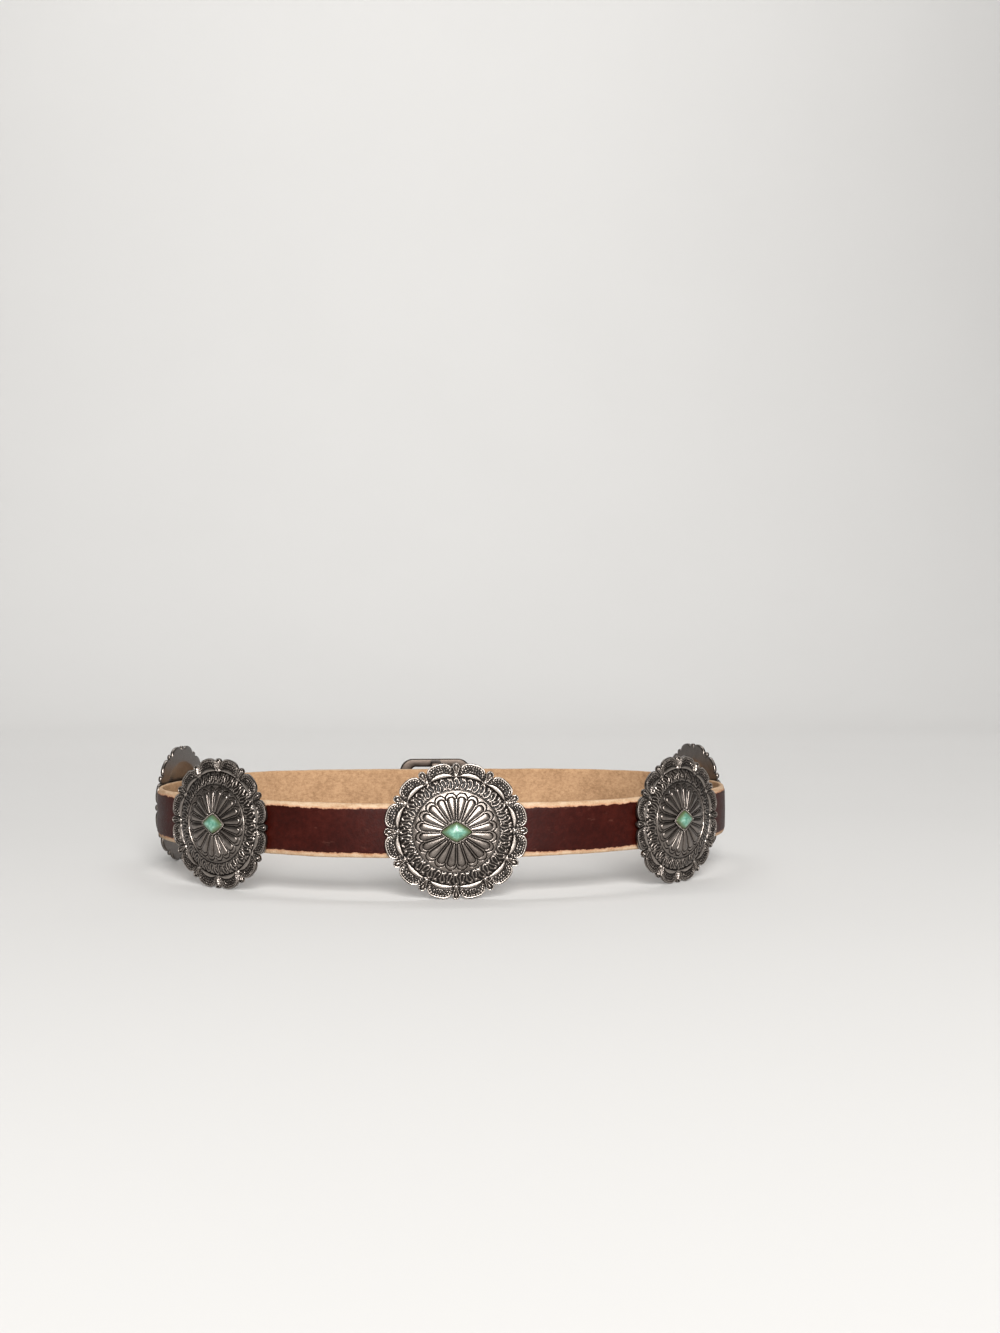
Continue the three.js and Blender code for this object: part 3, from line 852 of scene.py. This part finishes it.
# Beads round the bezel, copied from one bead
def bezelBeads():
    c = concho
    samples = 720
    angles = np.arange(samples) / samples * tau
    radius = rhombusRadius(angles, c["bezelWidth"] + 0.15, c["bezelHeight"] + 0.15)
    route = np.stack([radius * np.cos(angles), radius * np.sin(angles)], axis=-1)
    steps = np.linalg.norm(np.roll(route, -1, axis=0) - route, axis=1)
    run = np.concatenate([[0], np.cumsum(steps)])
    wanted = (np.arange(c["stoneBeads"]) + 0.5) / c["stoneBeads"] * run[-1]
    spots = np.array([np.interp(wanted, run, np.append(route[:, k], route[0, k])) for k in (0, 1)]).T
    deselect()
    bpy.ops.mesh.primitive_ico_sphere_add(subdivisions=2, radius=c["beadRadius"] * mm)
    first = named("bead")
    points = positions(first)
    paint(first, "patina", 0.1 + 0.75 * smoothStep(-0.1, 0.3, points[:, 2] / mm))
    copies = []
    for x, y in spots:
        copy = bpy.data.objects.new("bead", first.data.copy())
        bpy.context.collection.objects.link(copy)
        copy.data.transform(Matrix.Translation((x * c["stretch"] * mm, y * mm, c["beadLevel"] * mm)))
        copies.append(copy)
    bpy.data.objects.remove(first)
    return join("beads", *copies)


def modelConcho():
    c = concho
    body = closeUp(join("concho", borderGrid(), bandGrid(), discGrid(), backGrid()))
    narrower, rise = c["collar"][0]

    def onBoreFloor(points):
        radius = np.hypot(points[:, 0] / c["stretch"], points[:, 1])
        return (np.abs(radius - c["bore"]) < 0.01) & (np.abs(points[:, 2] - c["boreFloor"]) < 0.01)

    def onPocketFloor(points):
        x = points[:, 0] / c["stretch"]
        angle = np.arctan2(points[:, 1], x)
        inset = rhombusRadius(angle, c["bezelWidth"] + narrower, c["bezelHeight"] + narrower)
        level = c["collarFloor"] + rise * c["collarRise"]
        return (np.abs(np.hypot(x, points[:, 1]) - inset) < 0.02) & (np.abs(points[:, 2] - level) < 0.02)

    fillLoop(body, onBoreFloor)
    fillLoop(body, onPocketFloor)
    closeUp(body)
    return smooth(join("concho", body, bezelBeads()), 55)


# Stone: a soft rhombus with four ridges that meet in a small worn top
stone = {
    "width": 13.8,
    "height": 9.1,
    "base": 4.3,
    "girdle": 0.95,
    "dome": 1.45,
    "domeShare": 0.8,  # of the rings, the rest go down the girdle
    "columns": 96,
    "rings": 24,
}


def modelStone():
    s = stone
    edge = {}

    def where(across, around):
        angle = -across / s["columns"] * tau
        share = around / s["rings"]
        # from the middle to the rim over the dome, then down the girdle
        toRim = np.clip(share / s["domeShare"], 0, 1)
        down = np.clip((share - s["domeShare"]) / (1 - s["domeShare"]), 0, 1)
        radius = rhombusRadius(angle, s["width"], s["height"]) * (0.004 + 0.996 * toRim)
        x = radius * np.cos(angle)
        y = radius * np.sin(angle)
        ridge = np.hypot(2 * x / s["width"], 0.22) + np.hypot(2 * y / s["height"], 0.22) - 0.44
        roof = 1 - np.clip(ridge, 0, 1.4)
        roundTop = 1 - toRim ** 2.4
        girdleTop = s["base"] + s["girdle"]
        level = girdleTop + s["dome"] * (0.24 * roof + 0.76 * roundTop) - np.clip(toRim - 0.93, 0, 1) * 3.0
        level = np.where(down > 0, (girdleTop - 0.21) * (1 - down) + s["base"] * down, level)
        edge["values"] = toRim
        return np.stack([x, y, level], axis=-1) * mm

    made = wrappedGrid("stone", s["columns"], s["rings"], where)
    paint(made, "edge", edge["values"])
    closeUp(made, 1e-7)
    low = positions(made)[:, 2].min() / mm
    fillLoop(made, lambda p: np.abs(p[:, 2] - low) < 0.005)
    fillLoop(made, lambda p: np.hypot(p[:, 0], p[:, 1]) < 0.06)
    return smooth(closeUp(made, 1e-7), 60)


# Screw head against the inside of the strap, with a slot
screw = {
    "head": 4.4,
    "thickness": 1.4,
    "shank": 1.3,
    "reach": 2.2,
    "rim": 0.7,
    "crown": 0.25,  # how far the face inside the rim stands out
    "innerRim": 1.5,
    "innerCrown": 0.12,
    "edge": 0.22,
    "slot": 0.9,
    "slotDepth": 0.55,
    "slotTurn": 24,  # degrees
}


def modelScrew():
    s = screw
    face = -(belt["thickness"] + 2 * belt["gap"]) * mm
    deselect()
    bpy.ops.mesh.primitive_cylinder_add(
        vertices=72, radius=s["head"] * mm, depth=s["thickness"] * mm,
        location=(0, 0, face - s["thickness"] / 2 * mm),
    )
    bpy.ops.object.transform_apply(location=True)
    head = named("screw")
    selectFaces(head, lambda centre, normal: normal.z < -0.9)
    for inset, crown in ((s["rim"], s["crown"]), (s["innerRim"], s["innerCrown"])):
        bpy.ops.mesh.inset(thickness=inset * mm)
        bpy.ops.transform.translate(value=(0, 0, -crown * mm))
    selectFaces(head, lambda centre, normal: normal.z > 0.9)
    bpy.ops.mesh.inset(thickness=(s["head"] - s["shank"]) * mm)
    bpy.ops.mesh.extrude_region_move(TRANSFORM_OT_translate={"value": (0, 0, s["reach"] * mm)})
    bpy.ops.object.mode_set(mode="OBJECT")
    roundEdges(head, s["edge"], 3, 35)
    deselect()
    slotLevel = face - (s["thickness"] + s["crown"] + s["innerCrown"]) * mm
    bpy.ops.mesh.primitive_cube_add(size=1, location=(0, 0, slotLevel))
    bpy.context.object.scale = (12 * mm, s["slot"] * mm, 2 * s["slotDepth"] * mm)
    bpy.context.object.rotation_euler = (0, 0, math.radians(s["slotTurn"]))
    bpy.ops.object.transform_apply(location=True, rotation=True, scale=True)
    cutOut(head, named("slotCutter"))
    depth = face / mm - s["thickness"] - 0.3
    paint(head, "patina", np.where(positions(head)[:, 2] / mm < depth, 0.9, 0.55))
    return smooth(head, 35)


# Strap
strap = {
    "stations": 680,
    "halfWidth": 12.7,
    "tipLength": 15,
    "tipHalf": 4.2,
    "holeRadius": 1.9,
    "holeSpacing": 20,
    "holes": 4,
    # how hand-cut edges wander: depth, radians a millimetre and shift of each wave
    "waves": [(0.09, 0.071, 0.0), (0.05, 0.19, 1.3), (0.03, 0.53, 0.0)],
}

# Half of its section: distance outwards and height from the middle, in millimetres
strapSection = [
    (1.64, 0.0), (1.63, 3.4), (1.6, 6.6), (1.56, 9.0), (1.5, 9.9), (1.36, 10.35), (1.2, 10.65), (1.04, 11.2),
    (0.86, 11.75), (0.6, 12.25), (0.2, 12.58), (-0.35, 12.7), (-0.95, 12.6), (-1.38, 12.25), (-1.56, 11.7),
    (-1.6, 10.5), (-1.58, 7.0), (-1.6, 3.4), (-1.6, 0.0),
]


def layerRise(distance):
    end = frontDistance - belt["innerEnd"] - belt["gap"]
    return (belt["thickness"] + belt["gap"]) * smoothStep(end - belt["climb"], end, distance)


def modelStrap():
    s = strap
    upper = np.array(strapSection)
    lower = upper[1:-1][::-1] * [1, -1]
    section = np.vstack([upper, lower, upper[:1]])
    start = -frontDistance - belt["innerEnd"]
    end = frontDistance + belt["tail"]
    layers = {}

    def where(across, around):
        distance = start + (end - start) * across / s["stations"]
        out, height = section[around.astype(int)].T
        # the tail narrows to a rounded point
        toTip = np.clip((distance - (end - s["tipLength"])) / s["tipLength"], 0, 1)
        narrowing = (1 - np.sqrt(np.clip(1 - toTip ** 2, 0, 1))) ** 0.9
        half = s["halfWidth"] - (s["halfWidth"] - s["tipHalf"]) * narrowing
        thin = 1 - 0.25 * smoothStep(0.86, 1.0, toTip)
        wander = sum(deep * np.sin(distance * rate + shift) for deep, rate, shift in s["waves"])
        wander = wander * smoothStep(9.0, 12.0, np.abs(height)) * np.sign(height)
        ripple = 0.05 * np.sin(distance * 0.11 + height * 0.3) * smoothStep(1.0, 1.5, out)
        layers["along"] = distance * mm
        layers["side"] = out / (belt["thickness"] / 2)
        points = along(distance, layerRise(distance) + out * thin + ripple)[0]
        tall = middleHeight / mm + height * half / s["halfWidth"] + wander
        return np.column_stack([points, tall]) * mm

    made = wrappedGrid("strapLeather", s["stations"], len(section) - 1, where)
    for name, values in layers.items():
        paint(made, name, values)
    closeUp(made)
    # both cut ends
    clearPicks(made, "EDGE")
    bpy.ops.object.mode_set(mode="EDIT")
    bpy.ops.mesh.select_non_manifold()
    bpy.ops.mesh.fill_holes(sides=0)
    bpy.ops.object.mode_set(mode="OBJECT")
    closeUp(made)
    cutters = [holeCutter(-frontDistance, 0.0)]
    for k in range(s["holes"]):
        cutters.append(holeCutter(frontDistance + k * s["holeSpacing"], belt["thickness"] + belt["gap"]))
    cutOut(made, join("holeCutters", *cutters))
    return smooth(made, 50)


def holeCutter(distance, outwards):
    depth = belt["thickness"] + belt["gap"]
    deselect()
    bpy.ops.mesh.primitive_cylinder_add(vertices=40, radius=strap["holeRadius"] * mm, depth=depth * mm)
    cutter = named("holeCutter")
    cutter.data.transform(frameAt(distance, outwards))
    paint(cutter, "along", distance * mm)
    paint(cutter, "side", -0.2)
    return cutter


# Buckle: a frame over the tail, a bar behind both layers, and a fixed prong
buckle = {
    "width": 44,
    "height": 37.4,
    "thickness": 3.0,
    "corner": 8,
    "bar": 7,
    "rail": 5,
    "edge": 1.1,
    "barWidth": 6,
    "barThickness": 2.4,
    "barInset": 0.8,
    "barCorner": 2.8,
    "barInnerCorner": 0.8,
    "barEdge": 0.6,
    "prong": 1.5,
    "prongRise": 1.4,
    "prongTip": 1.0,
}


def box(name, size, centre):
    deselect()
    bpy.ops.mesh.primitive_cube_add(size=1, location=[each * mm for each in centre])
    bpy.context.object.scale = [each * mm for each in size]
    bpy.ops.object.transform_apply(location=True, scale=True)
    return named(name)


def modelBuckle():
    b = buckle
    layer = belt["thickness"] + belt["gap"]
    frameBack = layer + belt["thickness"] / 2 + belt["gap"]
    barFront = -belt["thickness"] / 2 - belt["gap"]
    frameSize = (b["width"], b["height"], b["thickness"])
    frontBody = box("buckle", frameSize, (0, 0, frameBack + b["thickness"] / 2))
    selectEdges(frontBody, lambda p, q: abs(p[2] - q[2]) > 1e-4)
    bpy.ops.mesh.bevel(offset=b["corner"] * mm, segments=10, affect="EDGES")
    selectFaces(frontBody, lambda centre, normal: abs(normal.z) > 0.9)
    bpy.ops.mesh.inset(thickness=b["rail"] * mm)
    bpy.ops.transform.resize(value=((b["width"] - 2 * b["bar"]) / (b["width"] - 2 * b["rail"]), 1, 1))
    bpy.ops.mesh.bridge_edge_loops()
    bpy.ops.object.mode_set(mode="OBJECT")
    roundEdges(frontBody, b["edge"], 5, 50)
    # behind both layers, a staple whose ends stand on the frame's rails
    opening = b["height"] - 2 * b["rail"]
    depth = frameBack + b["thickness"] / 2 - barFront + b["barThickness"]
    middle = barFront - b["barThickness"] + depth / 2

    def lowCorner(p, q):
        return abs(p[0] - q[0]) > 1e-4 and p[2] < middle * mm

    staple = box("staple", (b["barWidth"], b["height"] - 2 * b["barInset"], depth), (0, 0, middle))
    selectEdges(staple, lowCorner)
    bpy.ops.mesh.bevel(offset=b["barCorner"] * mm, segments=8, affect="EDGES")
    bpy.ops.object.mode_set(mode="OBJECT")
    space = box("space", (b["barWidth"] * 2, opening, depth), (0, 0, middle + b["barThickness"]))
    selectEdges(space, lowCorner)
    bpy.ops.mesh.bevel(offset=b["barInnerCorner"] * mm, segments=4, affect="EDGES")
    bpy.ops.object.mode_set(mode="OBJECT")
    cutOut(staple, space)
    roundEdges(staple, b["barEdge"], 3, 60)
    length = layer + belt["thickness"] / 2 + b["prongRise"] - barFront + b["barThickness"] / 2
    deselect()
    bpy.ops.mesh.primitive_cylinder_add(
        vertices=40, radius=b["prong"] * mm, depth=length * mm,
        location=(0, 0, (barFront - b["barThickness"] / 2 + length / 2) * mm),
    )
    bpy.ops.object.transform_apply(location=True)
    prong = named("prong")
    selectFaces(prong, lambda centre, normal: normal.z > 0.9)
    bpy.ops.mesh.bevel(offset=b["prongTip"] * mm, segments=6, affect="EDGES")
    bpy.ops.object.mode_set(mode="OBJECT")
    made = join("buckleFrame", frontBody, staple, prong)
    spots = positions(made) / mm
    top = frameBack + b["thickness"]
    onFrame = (np.abs(spots[:, 0]) > 8) | (spots[:, 2] > frameBack - 0.1)
    bright = 0.45 + 0.5 * smoothStep(top - 1.4, top - 0.1, spots[:, 2])
    onTip = (np.hypot(spots[:, 0], spots[:, 1]) < 2) & (spots[:, 2] > layer)
    paint(made, "patina", np.where(onTip, 0.9, np.where(onFrame, bright, 0.45)))
    return smooth(made, 50)


# Putting pieces in place

def settle(piece, name, matrix, material, slotName, *nodes):
    piece.name = piece.data.name = name
    piece.data.transform(matrix)
    piece.data.update()
    piece.data.materials.clear()
    piece.data.materials.append(material)
    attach(piece, "root")
    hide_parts(*nodes)
    return piece


def copyOf(piece):
    copy = bpy.data.objects.new(piece.name, piece.data.copy())
    bpy.context.collection.objects.link(copy)
    return copy


# Camera and studio

camera = {
    "place": (-0.03833, -0.80692, 0.11006),
    "heading": 4.858,  # degrees from +Y towards +X
    "tilt": -0.14,
    "lens": 40.21,
}

# In metres and watts
studio = {
    "floor": (0.60, 0.593, 0.583),
    "halfFloor": (4, 3.2),
    "wallHeight": 4,
    "sweepRadius": 1.6,
    "sky": (1.0, 0.99, 0.975),
    "skyStrength": 0.12,
}

softboxes = {
    "keyBox": {
        "place": (0.1, -2.3, 1.0), "target": (0, 0, 0.05), "size": (1.0, 1.75),
        "power": 120.0, "colour": (1.0, 0.99, 0.975),
    },
    "overheadBox": {
        "place": (0, 0.5, 2.4), "target": (0, 0.4, 0), "size": (3.0, 2.0),
        "power": 12.0, "colour": (1.0, 0.995, 0.985),
    },
    "wallBox": {
        "place": (0, 1.0, 2.7), "target": (0, 3.2, 0.9), "size": (3.6, 0.8),
        "power": 68.0, "colour": (1.0, 0.995, 0.985),
    },
}


def setCamera():
    data = bpy.data.cameras.new("camera")
    data.lens = camera["lens"]
    data.sensor_width = 36
    data.sensor_fit = "AUTO"
    data.clip_start = 0.01
    data.clip_end = 50
    eye = bpy.data.objects.new("camera", data)
    bpy.context.collection.objects.link(eye)
    eye.location = camera["place"]
    eye.rotation_euler = (math.radians(90 + camera["tilt"]), 0, math.radians(-camera["heading"]))
    bpy.context.scene.camera = eye


def setFloor():
    deselect()
    bpy.ops.mesh.primitive_plane_add(size=2)
    sweep = named("floor")
    sweep.scale = (*studio["halfFloor"], 1)
    bpy.ops.object.transform_apply(scale=True)
    back = studio["halfFloor"][1] - 0.1
    selectEdges(sweep, lambda p, q: min(p[1], q[1]) > back)
    bpy.ops.mesh.extrude_region_move(TRANSFORM_OT_translate={"value": (0, 0, studio["wallHeight"])})
    bpy.ops.object.mode_set(mode="OBJECT")
    selectEdges(sweep, lambda p, q: min(p[1], q[1]) > back and max(p[2], q[2]) < 0.01)
    bpy.ops.mesh.bevel(offset=studio["sweepRadius"], segments=24, affect="EDGES")
    bpy.ops.object.mode_set(mode="OBJECT")
    activate(sweep)
    bpy.ops.object.shade_smooth()
    made = Finish("paleFloor")
    tint = made.mix(made.noise(3.0, 2.0), studio["floor"], tuple(0.97 * each for each in studio["floor"]))
    sweep.data.materials.append(made.finish(BaseColor=tint, Roughness=0.9, SpecularIORLevel=0.2))


def addSoftbox(name, place, target, size, power, colour):
    data = bpy.data.lights.new(name, "AREA")
    data.shape = "RECTANGLE"
    data.size, data.size_y = size
    data.energy = power
    data.color = colour
    lamp = bpy.data.objects.new(name, data)
    bpy.context.collection.objects.link(lamp)
    lamp.location = place
    lamp.rotation_euler = (Vector(target) - Vector(place)).to_track_quat("-Z", "Y").to_euler()


def setLights():
    for name, settings in softboxes.items():
        addSoftbox(name, **settings)
    world = bpy.data.worlds.new("studio")
    bpy.context.scene.world = world
    world.use_nodes = True
    sky = world.node_tree.nodes["Background"]
    sky.inputs["Color"].default_value = (*studio["sky"], 1)
    sky.inputs["Strength"].default_value = studio["skyStrength"]
    bpy.context.scene.view_settings.view_transform = "Standard"


setCamera()
setFloor()
setLights()
print("camera, floor and lights are set")

conchoPlaces = {
    "back": 0,
    "left": -belt["conchoSpacing"],
    "right": belt["conchoSpacing"],
    "front_left": -2 * belt["conchoSpacing"],
    "front_right": 2 * belt["conchoSpacing"],
}
silver = castSilver()
turquoise = turquoiseStone()
steel = screwMetal()

patterns = [
    (modelConcho(), "concho", silver, "cast_silver", "conchoCasting"),
    (modelStone(), "stone", turquoise, "turquoise", "turquoiseStone"),
    (modelScrew(), "screw", steel, "screw_metal", "backScrew"),
]
print("one concho, stone and screw are modelled")
for pattern, node, material, slotName, title in patterns:
    for where, distance in conchoPlaces.items():
        seat = frameAt(distance, belt["thickness"] / 2 + belt["gap"])
        settle(copyOf(pattern), f"{title}_{where}", seat, material, slotName, f"{node}_{where}")
    bpy.data.objects.remove(pattern)
print("the conchos are on the strap")

settle(modelStrap(), "strapLeather", Matrix.Identity(4), beltLeather(middleHeight), "strap_leather", "strap")
print("the strap is made")
settle(modelBuckle(), "buckleFrame", frameAt(frontDistance, 0), buckleMetal(), "buckle_metal", "buckle")
print("the buckle is made")
